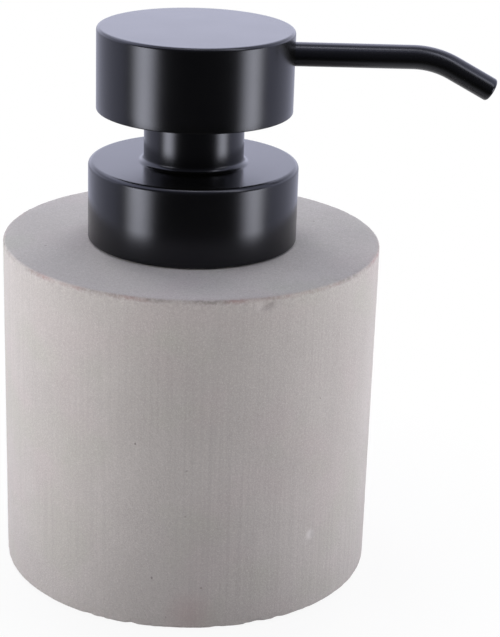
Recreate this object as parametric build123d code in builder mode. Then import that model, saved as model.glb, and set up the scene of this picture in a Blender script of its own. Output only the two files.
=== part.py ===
"""Soap pump dispenser: a cast concrete bottle with a black metal pump, all sizes in millimetres.

Origin on the bottle's axis at the underside of the base pad, +Z up, spout towards +X.
"""
import math
import os

from build123d import *

os.makedirs("parts", exist_ok=True)

# Bottle, from the photograph at a body diameter of 80
BODY_TOP_R = 40.0
BODY_BASE_R = 39.8
BODY_H = 72.35
BODY_TOP_ROUND = 0.7
BODY_BASE_ROUND = 0.4
PAD_PROUD = 0.4
PAD_T = 1.5
PAD_R = 29.8
PAD_CLEAR = 0.2

# Soap container inside the concrete, and the threaded neck set in the bottle's mouth
INNER_R = 33.5
INNER_FLOOR = 7.0
INNER_WALL = 1.2
INNER_FOOT_ROUND = 4.0
INNER_SHOULDER_ROUND = 9.0
SHOULDER_Z = 62.0
SHOULDER_RISE = 2.5
NECK_ROOT_ROUND = 1.5
THREAD_ROOT_R = 12.6
NECK_BORE_R = 10.4
NECK_RIM_Z = 84.6
NECK_RING_R = 15.0
NECK_RING_T = 1.5
SPIGOT_L = 4.0
RIM_ROUND = 0.4

# Collar and neck of the pump
COLLAR_R = 22.1
COLLAR_H = 16.7
COLLAR_LIFT = 0.25
COLLAR_ROUND = 1.0
NECK_R = 10.5
NECK_FILLET = 1.2
NECK_TOP_ROUND = 0.3
SHELL_T = 1.0

# Head and spout
HEAD_R = 20.5
HEAD_H = 17.2
HEAD_GAP = 11.1
HEAD_ROUND = 0.7
HEAD_LIP_ROUND = 0.2
HEAD_TOP_T = 1.2
SPOUT_R = 2.5
SPOUT_BORE_R = 1.8
SPOUT_DROP = 5.1
SPOUT_START_X = 6.0
SPOUT_BEND_X = 44.8
SPOUT_BEND_R = 18.0
SPOUT_BEND_DEG = 28.5
SPOUT_END_L = 9.4
SPOUT_TIP_ROUND = 0.35
SPOUT_CLEAR = 0.03

# Pump action
STROKE = 8.0
RUN_CLEAR = 0.05

# Screw cap
THREAD_GAP = 1.3
CAP_THREAD_WALL = 1.5
CAP_SKIRT_WALL = 1.4
CAP_SKIRT_UP = 0.4
CAP_THREAD_UP = 1.0
CAP_RIB_UP = 2.0
CAP_RIB_T = 1.2
CAP_RIBS = 12
CAP_WEB_HOLE_R = 9.45
CAP_LIP_T = 0.8
CAP_LIP_R = 10.7

# Gasket, pump cylinder and its valve
GASKET_T = 0.8
GASKET_IN_R = 8.4
GASKET_OUT_R = 12.2
FLANGE_R = 12.3
FLANGE_T = 1.4
BARREL_R = 8.0
BARREL_BORE_R = 6.5
BARREL_FOOT_Z = 43.0
CHAMBER_TOP_Z = 45.0
CHAMBER_R = 3.4
SEAT_Z = 39.0
THROAT_R = 1.6
INLET_R = 5.2
INLET_CONE_Z = 40.0
SOCKET_TOP_Z = 37.5
SOCKET_FOOT_Z = 32.5
VENT_R = 0.6
VENT_Z = 79.0
INLET_BALL_R = 2.5
SEAT_CLEAR = 0.05
CAGE_T = 1.2
CAGE_R = 6.4
CAGE_RING_R = 4.3
CAGE_HUB_R = 1.2
CAGE_SPOKE_T = 1.1
CAGE_SPOKES = 3
DIP_R = 2.95
DIP_BORE_R = 2.0
DIP_FOOT_Z = 10.5

# Stem guide
GUIDE_PLUG_R = 7.0
GUIDE_PLUG_Z = 82.8
GUIDE_BODY_R = 9.3
GUIDE_BODY_T = 1.0
GUIDE_RIM_R = 10.3
GUIDE_RIM_T = 0.5
GUIDE_TUBE_R = 5.8
GUIDE_TOP_Z = 95.5
GUIDE_TOP_ROUND = 0.4

# Stem, piston and outlet valve
STEM_R = 4.0
STEM_BORE_R = 1.9
STEM_TOP_Z = 109.1
STEM_STOP_R = 5.0
STEM_STOP_Z = 82.0
STEM_STOP_T = 0.7
STEM_WAIST_R = 3.2
STEM_FOOT_Z = 78.0
OUTLET_THROAT_R = 1.4
OUTLET_THROAT_L = 1.0
OUTLET_SEAT_Z = 104.6
OUTLET_POCKET_R = 2.4
OUTLET_BALL_R = 2.0
PISTON_LIP_T = 0.7
PISTON_NECK_R = 5.2
RETAINER_R = 5.7
RETAINER_T = 1.0
RETAINER_BORE_R = 1.1
RETAINER_SPIGOT_L = 3.2

# Return spring
SPRING_R = 4.8
SPRING_WIRE_R = 0.45
SPRING_TURNS = 9.0
SPRING_SEAT_GAP = 0.02

# Head core
CORE_UP = 0.6
CORE_FLOOR_T = 1.4
CORE_WALL = 1.45
CORE_TOP_GAP = 1.05
CORE_RIB_T = 1.2
CORE_RIBS = 6
CORE_RIB_TOP = 110.4
POCKET_R = 11.2
POCKET_WALL = 1.4
POCKET_ROOF_Z = 109.4
DECK_T = 1.6
SKIRT_R = 9.1
SKIRT_BORE_R = 8.0
SKIRT_FOOT_Z = 96.5
BOSS_R = 6.0
BOSS_FOOT_Z = 103.9
TOWER_R = 5.0
TOWER_TOP_Z = 115.3
SPOUT_BOSS_R = 3.8
SPOUT_STOP_X = 6.0
CHANNEL_R = 1.7
CHANNEL_SIDE_R = 1.4
SOCKET_ROOF_GAP = 0.1
O_RING_WIRE_R = 0.4
O_RING_X = 9.0
O_RING_GROOVE_L = 1.0

# Levels that follow from the sizes above
BASE_Z = PAD_PROUD
TOP_Z = BASE_Z + BODY_H
RING_Z = TOP_Z - NECK_RING_T
INNER_MOUTH_R = THREAD_ROOT_R - INNER_WALL
COLLAR_Z = TOP_Z + COLLAR_LIFT
COLLAR_TOP = TOP_Z + COLLAR_H
HEAD_Z = COLLAR_TOP + HEAD_GAP
HEAD_TOP = HEAD_Z + HEAD_H
SPOUT_Z = HEAD_TOP - SPOUT_DROP
NECK_TOP = POCKET_ROOF_Z - STROKE - SHELL_T * 0.4
FLANGE_Z = NECK_RIM_Z + GASKET_T
FLANGE_TOP = FLANGE_Z + FLANGE_T
WEB_Z = FLANGE_TOP + 2 * RUN_CLEAR
SHELL_ROOF = COLLAR_TOP - SHELL_T
CAP_R = COLLAR_R - SHELL_T - RUN_CLEAR
CAP_THREAD_R = THREAD_ROOT_R + THREAD_GAP
CORE_Z = HEAD_Z + CORE_UP
CORE_R = HEAD_R - SHELL_T - RUN_CLEAR
RETAINER_Z = STEM_FOOT_Z - RETAINER_T
CAGE_TOP = CHAMBER_TOP_Z + CAGE_T


def save(piece, name):
    """Label one finished piece and write its STEP file."""
    piece.label = name
    export_step(piece, f"parts/{name}.step")


def ball_height(ball_r, throat_r, seat_z):
    """Centre height of a ball that rests just clear of a 45 degree cone."""
    side = ball_r * math.sqrt(0.5)
    return seat_z + side - throat_r + side + SEAT_CLEAR


def container_outline():
    """Outer half outline of the soap container, from its floor to its mouth."""
    neck_root = SHOULDER_Z + SHOULDER_RISE
    side = FilletPolyline(
        (0, INNER_FLOOR),
        (INNER_R, INNER_FLOOR),
        (INNER_R, SHOULDER_Z),
        (THREAD_ROOT_R + NECK_ROOT_ROUND * 2, neck_root),
        (THREAD_ROOT_R, neck_root + NECK_ROOT_ROUND * 2),
        (THREAD_ROOT_R, RING_Z),
        radius=(INNER_FOOT_ROUND, INNER_SHOULDER_ROUND, NECK_ROOT_ROUND, NECK_ROOT_ROUND),
    )
    Polyline(side @ 1, (0, RING_Z), side @ 0)


# Concrete bottle, cast round the soap container, with a seat for the neck and a recess for the pad
with BuildPart() as concrete_body:
    with BuildSketch(Plane.XZ):
        with BuildLine():
            Polyline(
                (0, BASE_Z),
                (BODY_BASE_R, BASE_Z),
                (BODY_TOP_R, TOP_Z),
                (0, TOP_Z),
                close=True,
            )
        make_face()
    revolve(axis=Axis.Z)
    rims = concrete_body.edges().filter_by(GeomType.CIRCLE).sort_by(Axis.Z)
    fillet(rims[-1], radius=BODY_TOP_ROUND)
    rims = concrete_body.edges().filter_by(GeomType.CIRCLE).sort_by(Axis.Z)
    fillet(rims[0], radius=BODY_BASE_ROUND)
    with BuildSketch(Plane.XZ):
        with BuildLine():
            container_outline()
        make_face()
    revolve(axis=Axis.Z, mode=Mode.SUBTRACT)
    with BuildSketch(Plane.XY.offset(RING_Z)):
        Circle(NECK_RING_R)
    extrude(amount=NECK_RING_T, mode=Mode.SUBTRACT)
    with BuildSketch(Plane.XY.offset(BASE_Z)):
        Circle(PAD_R + PAD_CLEAR)
    extrude(amount=PAD_T - PAD_PROUD, mode=Mode.SUBTRACT)
save(concrete_body.part, "concrete_body")

# Soap container
with BuildPart() as inner_bottle:
    with BuildSketch(Plane.XZ):
        with BuildLine():
            container_outline()
        make_face()
    revolve(axis=Axis.Z)
    with BuildSketch(Plane.XZ):
        with BuildLine():
            neck_root = SHOULDER_Z + SHOULDER_RISE
            hollow = FilletPolyline(
                (0, INNER_FLOOR + INNER_WALL),
                (INNER_R - INNER_WALL, INNER_FLOOR + INNER_WALL),
                (INNER_R - INNER_WALL, SHOULDER_Z - INNER_WALL),
                (INNER_MOUTH_R + NECK_ROOT_ROUND, neck_root - INNER_WALL),
                (INNER_MOUTH_R, neck_root + NECK_ROOT_ROUND),
                (INNER_MOUTH_R, RING_Z),
                radius=(
                    INNER_FOOT_ROUND - INNER_WALL,
                    INNER_SHOULDER_ROUND - INNER_WALL,
                    NECK_ROOT_ROUND,
                    NECK_ROOT_ROUND,
                ),
            )
            Polyline(hollow @ 1, (0, RING_Z), hollow @ 0)
        make_face()
    revolve(axis=Axis.Z, mode=Mode.SUBTRACT)
save(inner_bottle.part, "inner_bottle")

# Threaded neck: its ring sits flush in the concrete and its spigot plugs the container's mouth
with BuildPart() as neck_insert:
    spigot_r = INNER_MOUTH_R - RUN_CLEAR
    with BuildSketch(Plane.XZ):
        with BuildLine():
            Polyline(
                (NECK_BORE_R, RING_Z - SPIGOT_L),
                (spigot_r, RING_Z - SPIGOT_L),
                (spigot_r, RING_Z),
                (NECK_RING_R, RING_Z),
                (NECK_RING_R, TOP_Z),
                (THREAD_ROOT_R, TOP_Z),
                (THREAD_ROOT_R, NECK_RIM_Z),
                (NECK_BORE_R, NECK_RIM_Z),
                close=True,
            )
        make_face()
    revolve(axis=Axis.Z)
    rim = neck_insert.edges().filter_by(GeomType.CIRCLE).group_by(Axis.Z)[-1]
    fillet(rim, radius=RIM_ROUND)
save(neck_insert.part, "neck_insert")

# Rubber pad under the base
with BuildPart() as base_pad:
    with BuildSketch():
        Circle(PAD_R)
    extrude(amount=PAD_T)
save(base_pad.part, "base_pad")

# Sealing ring on the container's rim
with BuildPart() as gasket:
    with BuildSketch(Plane.XY.offset(NECK_RIM_Z)):
        Circle(GASKET_OUT_R)
        Circle(GASKET_IN_R, mode=Mode.SUBTRACT)
    extrude(amount=GASKET_T)
save(gasket.part, "gasket")

# Pump cylinder: flange, barrel, inlet valve seat and dip tube socket
with BuildPart() as pump_housing:
    with BuildSketch(Plane.XZ):
        with BuildLine():
            Polyline(
                (GUIDE_PLUG_R, FLANGE_TOP),
                (FLANGE_R, FLANGE_TOP),
                (FLANGE_R, FLANGE_Z),
                (BARREL_R, FLANGE_Z),
                (BARREL_R, BARREL_FOOT_Z),
                (INLET_R, INLET_CONE_Z),
                (INLET_R, SOCKET_FOOT_Z),
                (DIP_R + RUN_CLEAR, SOCKET_FOOT_Z),
                (DIP_R + RUN_CLEAR, SOCKET_TOP_Z),
                (THROAT_R, SOCKET_TOP_Z),
                (THROAT_R, SEAT_Z),
                (CHAMBER_R, SEAT_Z + CHAMBER_R - THROAT_R),
                (CHAMBER_R, CHAMBER_TOP_Z),
                (BARREL_BORE_R, CHAMBER_TOP_Z),
                (BARREL_BORE_R, GUIDE_PLUG_Z),
                (GUIDE_PLUG_R, GUIDE_PLUG_Z),
                close=True,
            )
        make_face()
    revolve(axis=Axis.Z)
    with BuildSketch(Plane.YZ.offset(BARREL_BORE_R * 0.5)):
        with Locations((0, VENT_Z)):
            Circle(VENT_R)
    extrude(amount=BARREL_R, mode=Mode.SUBTRACT)
save(pump_housing.part, "pump_housing")

# Bush that closes the cylinder, turns freely in the screw cap and guides the stem
with BuildPart() as stem_guide:
    body_top = FLANGE_TOP + GUIDE_BODY_T
    rim_top = body_top + GUIDE_RIM_T
    with BuildSketch(Plane.XZ):
        with BuildLine():
            Polyline(
                (STEM_R + RUN_CLEAR, GUIDE_PLUG_Z),
                (GUIDE_PLUG_R - RUN_CLEAR, GUIDE_PLUG_Z),
                (GUIDE_PLUG_R - RUN_CLEAR, FLANGE_TOP),
                (GUIDE_BODY_R, FLANGE_TOP),
                (GUIDE_BODY_R, body_top),
                (GUIDE_RIM_R, body_top),
                (GUIDE_RIM_R, rim_top),
                (GUIDE_TUBE_R, rim_top),
                (GUIDE_TUBE_R, GUIDE_TOP_Z),
                (STEM_R + RUN_CLEAR, GUIDE_TOP_Z),
                close=True,
            )
        make_face()
    revolve(axis=Axis.Z)
    rim = stem_guide.edges().filter_by(GeomType.CIRCLE).group_by(Axis.Z)[-1]
    fillet(rim, radius=GUIDE_TOP_ROUND)
save(stem_guide.part, "stem_guide")

# Slotted disc over the inlet ball
with BuildPart() as ball_cage:
    with BuildSketch(Plane.XY.offset(CHAMBER_TOP_Z)):
        Circle(CAGE_R)
        Circle(CAGE_RING_R, mode=Mode.SUBTRACT)
        Circle(CAGE_HUB_R)
        with PolarLocations(CAGE_RING_R * 0.5, CAGE_SPOKES):
            Rectangle(CAGE_RING_R + CAGE_SPOKE_T, CAGE_SPOKE_T)
    extrude(amount=CAGE_T)
save(ball_cage.part, "ball_cage")

# Inlet valve ball
with BuildPart() as inlet_ball:
    with Locations((0, 0, ball_height(INLET_BALL_R, THROAT_R, SEAT_Z))):
        Sphere(INLET_BALL_R)
save(inlet_ball.part, "inlet_ball")

# Dip tube with a slanted foot
with BuildPart() as dip_tube:
    with BuildSketch(Plane.XY.offset(DIP_FOOT_Z)):
        Circle(DIP_R)
        Circle(DIP_BORE_R, mode=Mode.SUBTRACT)
    extrude(amount=SOCKET_TOP_Z - DIP_FOOT_Z)
    with BuildSketch(Plane.XZ):
        with BuildLine():
            Polyline(
                (-DIP_R, DIP_FOOT_Z),
                (DIP_R, DIP_FOOT_Z),
                (DIP_R, DIP_FOOT_Z + 2 * DIP_R),
                close=True,
            )
        make_face()
    extrude(amount=DIP_R, both=True, mode=Mode.SUBTRACT)
save(dip_tube.part, "dip_tube")

# Collar and neck, drawn in one piece
with BuildPart() as collar_shell:
    with BuildSketch(Plane.XZ):
        with BuildLine():
            Polyline(
                (COLLAR_R - SHELL_T, COLLAR_Z),
                (COLLAR_R, COLLAR_Z),
                (COLLAR_R, COLLAR_TOP),
                (NECK_R, COLLAR_TOP),
                (NECK_R, NECK_TOP),
                (NECK_R - SHELL_T, NECK_TOP),
                (NECK_R - SHELL_T, SHELL_ROOF),
                (COLLAR_R - SHELL_T, SHELL_ROOF),
                close=True,
            )
        make_face()
    revolve(axis=Axis.Z)
    at_top = collar_shell.edges().filter_by(GeomType.CIRCLE).filter_by_position(
        Axis.Z, COLLAR_TOP - RUN_CLEAR, COLLAR_TOP + RUN_CLEAR
    )
    fillet(at_top.sort_by(SortBy.RADIUS)[-1], radius=COLLAR_ROUND)
    at_top = collar_shell.edges().filter_by(GeomType.CIRCLE).filter_by_position(
        Axis.Z, COLLAR_TOP - RUN_CLEAR, COLLAR_TOP + RUN_CLEAR
    )
    fillet(at_top.sort_by(SortBy.RADIUS)[0], radius=NECK_FILLET)
    rim = collar_shell.edges().filter_by(GeomType.CIRCLE).group_by(Axis.Z)[-1]
    fillet(rim, radius=NECK_TOP_ROUND)
save(collar_shell.part, "collar_shell")

# Screw cap pressed into the collar: skirt, thread wall, web and ribs
with BuildPart() as closure_cap:
    with BuildSketch(Plane.XZ):
        with BuildLine():
            skirt_in = CAP_R - CAP_SKIRT_WALL
            thread_out = CAP_THREAD_R + CAP_THREAD_WALL
            Polyline(
                (CAP_R, COLLAR_Z + CAP_SKIRT_UP),
                (CAP_R, SHELL_ROOF),
                (CAP_LIP_R, SHELL_ROOF),
                (CAP_LIP_R, WEB_Z + CAP_LIP_T),
                (CAP_WEB_HOLE_R, WEB_Z + CAP_LIP_T),
                (CAP_WEB_HOLE_R, WEB_Z),
                (CAP_THREAD_R, WEB_Z),
                (CAP_THREAD_R, COLLAR_Z + CAP_THREAD_UP),
                (thread_out, COLLAR_Z + CAP_THREAD_UP),
                (thread_out, WEB_Z),
                (skirt_in, WEB_Z),
                (skirt_in, COLLAR_Z + CAP_SKIRT_UP),
                close=True,
            )
        make_face()
    revolve(axis=Axis.Z)
    with BuildSketch(Plane.XY.offset(COLLAR_Z + CAP_RIB_UP)):
        rib_in = CAP_THREAD_R + CAP_THREAD_WALL * 0.5
        rib_out = CAP_R - CAP_SKIRT_WALL * 0.5
        with PolarLocations((rib_in + rib_out) * 0.5, CAP_RIBS):
            Rectangle(rib_out - rib_in, CAP_RIB_T)
    extrude(amount=WEB_Z - COLLAR_Z - CAP_RIB_UP)
save(closure_cap.part, "closure_cap")

# Hollow stem with the outlet valve seat in its top
with BuildPart() as stem:
    stop_top = STEM_STOP_Z + STEM_STOP_T
    throat_z = OUTLET_SEAT_Z - OUTLET_THROAT_L
    with BuildSketch(Plane.XZ):
        with BuildLine():
            Polyline(
                (STEM_BORE_R, STEM_FOOT_Z),
                (STEM_WAIST_R, STEM_FOOT_Z),
                (STEM_WAIST_R, STEM_STOP_Z),
                (STEM_STOP_R, STEM_STOP_Z),
                (STEM_STOP_R, stop_top),
                (STEM_R, stop_top),
                (STEM_R, STEM_TOP_Z),
                (OUTLET_POCKET_R, STEM_TOP_Z),
                (OUTLET_POCKET_R, OUTLET_SEAT_Z + OUTLET_POCKET_R - OUTLET_THROAT_R),
                (OUTLET_THROAT_R, OUTLET_SEAT_Z),
                (OUTLET_THROAT_R, throat_z),
                (STEM_BORE_R, throat_z),
                close=True,
            )
        make_face()
    revolve(axis=Axis.Z)
save(stem.part, "stem")

# Double-lipped piston ring on the stem's waist
with BuildPart() as piston_seal:
    lip_r = BARREL_BORE_R - RUN_CLEAR
    mid_z = (STEM_FOOT_Z + STEM_STOP_Z) * 0.5
    with BuildSketch(Plane.XZ):
        with BuildLine():
            Polyline(
                (STEM_WAIST_R, STEM_FOOT_Z),
                (PISTON_NECK_R - PISTON_LIP_T, STEM_FOOT_Z),
                (PISTON_NECK_R, STEM_FOOT_Z + PISTON_LIP_T),
                (lip_r - PISTON_LIP_T, STEM_FOOT_Z),
                (lip_r, STEM_FOOT_Z),
                (lip_r, STEM_FOOT_Z + PISTON_LIP_T),
                (PISTON_NECK_R + PISTON_LIP_T, mid_z),
                (lip_r, STEM_STOP_Z - PISTON_LIP_T),
                (lip_r, STEM_STOP_Z),
                (lip_r - PISTON_LIP_T, STEM_STOP_Z),
                (PISTON_NECK_R, STEM_STOP_Z - PISTON_LIP_T),
                (PISTON_NECK_R - PISTON_LIP_T, STEM_STOP_Z),
                (STEM_WAIST_R, STEM_STOP_Z),
                close=True,
            )
        make_face()
    revolve(axis=Axis.Z)
save(piston_seal.part, "piston_seal")

# Plug in the stem's foot: holds the ring and takes the spring
with BuildPart() as piston_retainer:
    with BuildSketch(Plane.XZ):
        with BuildLine():
            Polyline(
                (RETAINER_BORE_R, RETAINER_Z),
                (RETAINER_R, RETAINER_Z),
                (RETAINER_R, STEM_FOOT_Z),
                (STEM_BORE_R - RUN_CLEAR, STEM_FOOT_Z),
                (STEM_BORE_R - RUN_CLEAR, STEM_FOOT_Z + RETAINER_SPIGOT_L),
                (RETAINER_BORE_R, STEM_FOOT_Z + RETAINER_SPIGOT_L),
                close=True,
            )
        make_face()
    revolve(axis=Axis.Z)
save(piston_retainer.part, "piston_retainer")

# Return spring, one unbroken wire between the cage and the retainer
with BuildPart() as return_spring:
    spring_z = CAGE_TOP + SPRING_WIRE_R + SPRING_SEAT_GAP
    spring_h = RETAINER_Z - CAGE_TOP - 2 * (SPRING_WIRE_R + SPRING_SEAT_GAP)
    with BuildLine() as coil:
        Helix(spring_h / SPRING_TURNS, spring_h, SPRING_R, center=(0, 0, spring_z))
    with BuildSketch(Plane(origin=coil.line @ 0, z_dir=coil.line % 0)):
        Circle(SPRING_WIRE_R)
    sweep(path=coil.line, is_frenet=True)
save(return_spring.part, "return_spring")

# Outlet valve ball
with BuildPart() as outlet_ball:
    with Locations((0, 0, ball_height(OUTLET_BALL_R, OUTLET_THROAT_R, OUTLET_SEAT_Z))):
        Sphere(OUTLET_BALL_R)
save(outlet_ball.part, "outlet_ball")

# Head core: an open-topped moulding with the stem socket, outlet channel and spout socket
with BuildPart() as head_core:
    deck_top = POCKET_ROOF_Z + DECK_T
    wall_in = CORE_R - CORE_WALL
    pocket_out = POCKET_R + POCKET_WALL
    with BuildSketch(Plane.XZ):
        with BuildLine():
            Polyline(
                (0, POCKET_ROOF_Z),
                (POCKET_R, POCKET_ROOF_Z),
                (POCKET_R, CORE_Z),
                (CORE_R, CORE_Z),
                (CORE_R, HEAD_TOP - HEAD_TOP_T - CORE_TOP_GAP),
                (wall_in, HEAD_TOP - HEAD_TOP_T - CORE_TOP_GAP),
                (wall_in, CORE_Z + CORE_FLOOR_T),
                (pocket_out, CORE_Z + CORE_FLOOR_T),
                (pocket_out, deck_top),
                (TOWER_R, deck_top),
                (TOWER_R, TOWER_TOP_Z),
                (0, TOWER_TOP_Z),
                close=True,
            )
        make_face()
    revolve(axis=Axis.Z)
    with BuildSketch(Plane.XY.offset(CORE_Z)):
        rib_in = POCKET_R + POCKET_WALL * 0.5
        rib_out = CORE_R - CORE_WALL * 0.5
        with PolarLocations((rib_in + rib_out) * 0.5, CORE_RIBS, start_angle=180 / CORE_RIBS):
            Rectangle(rib_out - rib_in, CORE_RIB_T)
    extrude(amount=CORE_RIB_TOP - CORE_Z)
    with BuildSketch(Plane.YZ):
        with Locations((0, SPOUT_Z)):
            Circle(SPOUT_BOSS_R)
    extrude(amount=CORE_R - CORE_WALL * 0.5)
    with BuildSketch(Plane.XY.offset(POCKET_ROOF_Z)):
        Circle(POCKET_R)
    extrude(amount=CORE_Z - POCKET_ROOF_Z, mode=Mode.SUBTRACT)
    with BuildSketch(Plane.XY.offset(SKIRT_FOOT_Z)):
        Circle(SKIRT_R)
        Circle(SKIRT_BORE_R, mode=Mode.SUBTRACT)
    extrude(amount=POCKET_ROOF_Z - SKIRT_FOOT_Z)
    with BuildSketch(Plane.XY.offset(BOSS_FOOT_Z)):
        Circle(BOSS_R)
    extrude(amount=POCKET_ROOF_Z - BOSS_FOOT_Z)
    with BuildSketch(Plane.XY.offset(BOSS_FOOT_Z)):
        Circle(STEM_R + RUN_CLEAR)
    extrude(amount=STEM_TOP_Z + SOCKET_ROOF_GAP - BOSS_FOOT_Z, mode=Mode.SUBTRACT)
    with BuildSketch(Plane.XY.offset(BOSS_FOOT_Z)):
        Circle(CHANNEL_R)
    extrude(amount=SPOUT_Z + CHANNEL_R - BOSS_FOOT_Z, mode=Mode.SUBTRACT)
    with BuildSketch(Plane.YZ):
        with Locations((0, SPOUT_Z)):
            Circle(CHANNEL_SIDE_R)
    extrude(amount=SPOUT_STOP_X, mode=Mode.SUBTRACT)
    with BuildSketch(Plane.YZ.offset(SPOUT_STOP_X)):
        with Locations((0, SPOUT_Z)):
            Circle(SPOUT_R + SPOUT_CLEAR)
    extrude(amount=HEAD_R, mode=Mode.SUBTRACT)
    with BuildSketch(Plane.YZ.offset(O_RING_X - O_RING_GROOVE_L * 0.5)):
        with Locations((0, SPOUT_Z)):
            Circle(SPOUT_R + 2 * O_RING_WIRE_R + SPOUT_CLEAR)
    extrude(amount=O_RING_GROOVE_L, mode=Mode.SUBTRACT)
save(head_core.part, "head_core")

# Metal cup of the head
with BuildPart() as head_shell:
    with BuildSketch(Plane.XY.offset(HEAD_Z)):
        Circle(HEAD_R)
    extrude(amount=HEAD_H)
    rims = head_shell.edges().filter_by(GeomType.CIRCLE).sort_by(Axis.Z)
    fillet(rims[-1], radius=HEAD_ROUND)
    with BuildSketch(Plane.XY.offset(HEAD_Z)):
        Circle(HEAD_R - SHELL_T)
    extrude(amount=HEAD_H - HEAD_TOP_T, mode=Mode.SUBTRACT)
    rim = head_shell.edges().filter_by(GeomType.CIRCLE).group_by(Axis.Z)[0]
    fillet(rim, radius=HEAD_LIP_ROUND)
    with BuildSketch(Plane.YZ.offset(HEAD_R * 0.5)):
        with Locations((0, SPOUT_Z)):
            Circle(SPOUT_R + SPOUT_CLEAR)
    extrude(amount=HEAD_R, mode=Mode.SUBTRACT)
save(head_shell.part, "head_shell")

# Bent spout tube, cut square at the tip
with BuildPart() as spout_tube:
    with BuildLine(Plane.XZ) as spout_path:
        run = Line((SPOUT_START_X, SPOUT_Z), (SPOUT_BEND_X, SPOUT_Z))
        bend = JernArc(start=run @ 1, tangent=run % 1, radius=SPOUT_BEND_R, arc_size=-SPOUT_BEND_DEG)
        Line(bend @ 1, bend @ 1 + SPOUT_END_L * (bend % 1))
    with BuildSketch(Plane.YZ.offset(SPOUT_START_X)):
        with Locations((0, SPOUT_Z)):
            Circle(SPOUT_R)
            Circle(SPOUT_BORE_R, mode=Mode.SUBTRACT)
    sweep(path=spout_path.line)
    tip = spout_tube.edges().filter_by(GeomType.CIRCLE).sort_by(Axis.X)[-2:]
    fillet(tip.sort_by(SortBy.RADIUS)[-1], radius=SPOUT_TIP_ROUND)
save(spout_tube.part, "spout_tube")

# Seal between the spout tube and the head core
with BuildPart() as spout_o_ring:
    with BuildSketch(Plane.XZ):
        with Locations((O_RING_X, SPOUT_Z + SPOUT_R + O_RING_WIRE_R)):
            Circle(O_RING_WIRE_R)
    revolve(axis=Axis((0, 0, SPOUT_Z), (1, 0, 0)))
save(spout_o_ring.part, "spout_o_ring")
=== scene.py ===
"""Looks of the soap pump dispenser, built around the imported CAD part."""

import math

import bpy
import numpy as np
from mathutils import Matrix, Vector

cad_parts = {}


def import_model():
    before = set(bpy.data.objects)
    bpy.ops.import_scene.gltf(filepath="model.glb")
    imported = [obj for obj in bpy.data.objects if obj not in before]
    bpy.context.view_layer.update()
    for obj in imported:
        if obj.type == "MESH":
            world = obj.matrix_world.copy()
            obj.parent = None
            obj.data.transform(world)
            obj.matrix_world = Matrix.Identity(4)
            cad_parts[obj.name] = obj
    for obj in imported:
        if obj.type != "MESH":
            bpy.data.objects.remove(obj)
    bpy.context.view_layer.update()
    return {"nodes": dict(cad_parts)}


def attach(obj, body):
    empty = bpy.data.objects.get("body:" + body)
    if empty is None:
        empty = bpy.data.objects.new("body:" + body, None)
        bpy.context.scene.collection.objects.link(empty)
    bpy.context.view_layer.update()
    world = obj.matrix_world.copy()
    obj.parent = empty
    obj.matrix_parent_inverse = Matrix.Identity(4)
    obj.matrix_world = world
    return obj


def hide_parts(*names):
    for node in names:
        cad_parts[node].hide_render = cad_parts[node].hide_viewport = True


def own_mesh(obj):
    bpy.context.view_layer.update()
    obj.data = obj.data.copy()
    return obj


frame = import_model()
nodes = frame["nodes"]
scene = bpy.context.scene
MM = 0.001

# Sizes that repeat the CAD's, in millimetres
BASE_Z = 0.4
TOP_Z = 72.75
BODY_BASE_R = 39.8
BODY_TOP_R = 40.0
PAD_EDGE_R = 30.0
RECESS_Z = 1.5
NECK_RING_R = 15.0
NECK_RING_Z = 71.25
MOUTH_R = 12.6
MOUTH_FOOT_Z = 67.5
CONTAINER_R = 33.5
CONTAINER_FLOOR_Z = 7.0
COLLAR_R = 22.1
COLLAR_Z = 73.0
COLLAR_TOP = 89.45
NECK_R = 10.5
NECK_TOP = 101.0
SHELL_T = 1.0
HEAD_R = 20.5
HEAD_Z = 100.55
HEAD_TOP = 117.75
HEAD_TOP_T = 1.2
SPOUT_Z = 112.65
SPOUT_R = 2.5
SPOUT_BORE_R = 1.8
SPOUT_START_X = 6.0
SPOUT_BEND_X = 44.8
SPOUT_BEND_R = 18.0
SPOUT_BEND_DEG = 28.5
SPOUT_END_L = 9.4
SPRING_FOOT = 46.2
SPRING_HEAD = 77.0
SPRING_R = 4.8
SPRING_WIRE_R = 0.45
THREAD_PITCH = 4.233

# Screw threads, which only the visual model has
THREAD_TURNS = 1.6
THREAD_DEPTH = 1.0
NECK_THREAD_R = 12.5
NECK_THREAD_Z = 75.6
CAP_THREAD_R = 14.0
CAP_THREAD_Z = 76.0

# Points round each kind of piece
CASING_SEGMENTS = 720
SHELL_SEGMENTS = 256
SPOUT_SEGMENTS = 64
WIRE_SEGMENTS = 14


# Small tools

def mesh_object(name, verts, faces, body, smooth_angle=32.0):
    """A smooth-shaded mesh from points in millimetres, riding on a body."""
    mesh = bpy.data.meshes.new(name)
    mesh.from_pydata((np.asarray(verts, dtype=float) * MM).tolist(), [], faces)
    mesh.validate()
    mesh.update()
    mesh.shade_smooth()
    mesh.set_sharp_from_angle(angle=math.radians(smooth_angle))
    obj = bpy.data.objects.new(name, mesh)
    scene.collection.objects.link(obj)
    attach(obj, body)
    return obj


def ring_faces(rows, cols, wrap_rows):
    """Quads of a grid of rows by cols that closes round its columns, and round its rows if asked."""
    faces = []
    last = rows if wrap_rows else rows - 1
    for i in range(last):
        a = i * cols
        b = ((i + 1) % rows) * cols
        for j in range(cols):
            k = (j + 1) % cols
            faces.append((a + j, a + k, b + k, b + j))
    return faces


def turned_over(faces):
    """The same faces, looking the other way."""
    return [tuple(reversed(f)) for f in faces]


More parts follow.
